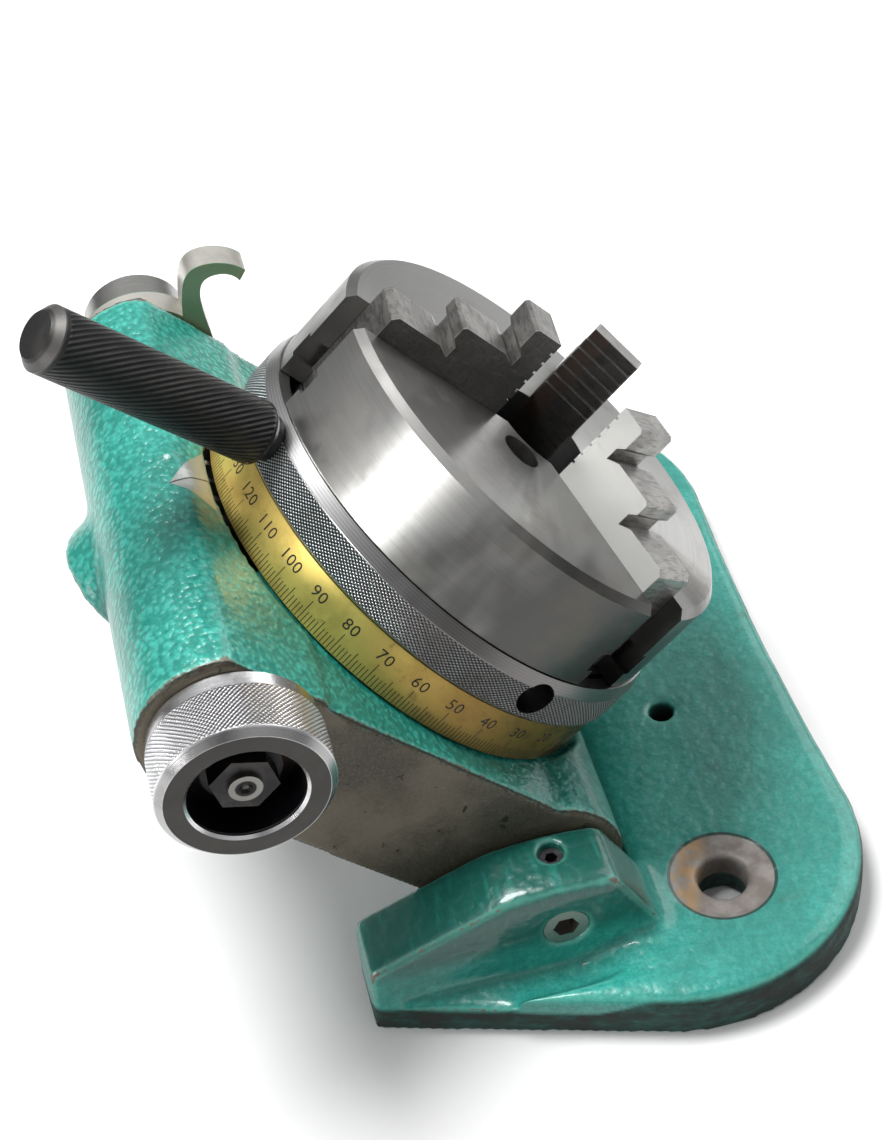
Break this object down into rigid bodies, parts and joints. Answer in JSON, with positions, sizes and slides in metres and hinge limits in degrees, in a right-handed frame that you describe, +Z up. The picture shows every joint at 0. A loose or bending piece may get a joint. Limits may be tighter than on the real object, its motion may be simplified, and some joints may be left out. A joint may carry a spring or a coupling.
{
  "type": "tilting indexing chuck",
  "caption": "Three-jaw lever-scroll chuck on a tilting, worm-driven head with a degree dial, carried between the cheeks of a bolt-down fork base.",
  "frame": {"origin": "midway between the two bolt holes, on the underside of the base", "axes": "+X towards the side that the chuck faces, +Z up, +Y towards the release lever"},
  "size_m": [0.1895, 0.234, 0.184],
  "materials": {
    "green_paint": "glossy hammered paint",
    "bright_steel": "ground",
    "dark_steel": "black oxide",
    "jaw_steel": "hardened, with ground steps",
    "machined_iron": "machined",
    "lever_iron": "worn paint",
    "brass": "satin",
    "bronze": "machined"
  },
  "bodies": {
    "base": {"base_casting": "green_paint", "front_pivot_screw": "dark_steel", "rear_pivot_screw": "dark_steel", "pivot_lock_screws": "dark_steel"},
    "head": {"housing": "green_paint", "pivot_bushes": "bronze", "front_spindle_bush": "bronze", "rear_spindle_bush": "bronze", "worm_bush": "bronze", "rear_cover": "machined_iron", "rear_cover_screws": "dark_steel"},
    "rotor": {"worm_wheel": "bronze", "wheel_key": "dark_steel", "spindle": "bright_steel", "spindle_nut": "dark_steel", "dial_ring": "brass", "chuck_body": "bright_steel", "chuck_screws": "dark_steel"},
    "scroll": {"scroll_ring": "bright_steel", "ring_handle": "dark_steel"},
    "jaw_a": {"jaw_1": "jaw_steel"},
    "jaw_b": {"jaw_2": "jaw_steel"},
    "jaw_c": {"jaw_3": "jaw_steel"},
    "worm": {"worm_shaft": "bright_steel", "worm_knob": "bright_steel", "knob_washer": "bright_steel", "knob_nut": "dark_steel", "shaft_collar": "bright_steel"},
    "lever": {"release_sleeve": "bright_steel", "release_lever": "lever_iron", "lever_grub_screw": "dark_steel"}
  },
  "joints": [
    {"name": "head_tilt", "type": "hinge", "parent": "base", "child": "head", "pos_m": [-0.0449, 0, 0.0223], "axis": [0, -1, 0], "range_deg": [-13.6, 46.4]},
    {"name": "spindle_spin", "type": "hinge", "parent": "head", "child": "rotor", "pos_m": [-0.04259, 0, 0.08802], "axis": [0.7242, 0, 0.6896], "range_deg": [-22, 60]},
    {"name": "worm_spin", "type": "hinge", "parent": "head", "child": "worm", "pos_m": [-0.11622, 0, 0.09937], "axis": [0, 1, 0], "range_deg": [-880, 2400]},
    {"name": "release_lever_turn", "type": "hinge", "parent": "head", "child": "lever", "pos_m": [-0.11622, 0, 0.09937], "axis": [0, 1, 0], "range_deg": [-70, 0]},
    {"name": "scroll_turn", "type": "hinge", "parent": "rotor", "child": "scroll", "pos_m": [-0.04259, 0, 0.08802], "axis": [0.7242, 0, 0.6896], "range_deg": [-22, 50]},
    {"name": "jaw_a_slide", "type": "slide", "parent": "rotor", "child": "jaw_a", "axis": [-0.6845, 0.1219, 0.7188], "range_m": [-0.00085, 0.00039]},
    {"name": "jaw_b_slide", "type": "slide", "parent": "rotor", "child": "jaw_b", "axis": [0.415, 0.7986, -0.4358], "range_m": [-0.00085, 0.00039]},
    {"name": "jaw_c_slide", "type": "slide", "parent": "rotor", "child": "jaw_c", "axis": [0.2695, -0.9205, -0.283], "range_m": [-0.00085, 0.00039]}
  ],
  "couplings": [
    {"joint": "worm_spin", "follows": "spindle_spin", "ratio": 40},
    {"joint": "jaw_a_slide", "follows": "scroll_turn", "m_per_rad": -0.00095493},
    {"joint": "jaw_b_slide", "follows": "scroll_turn", "m_per_rad": -0.00095493},
    {"joint": "jaw_c_slide", "follows": "scroll_turn", "m_per_rad": -0.00095493}
  ]
}
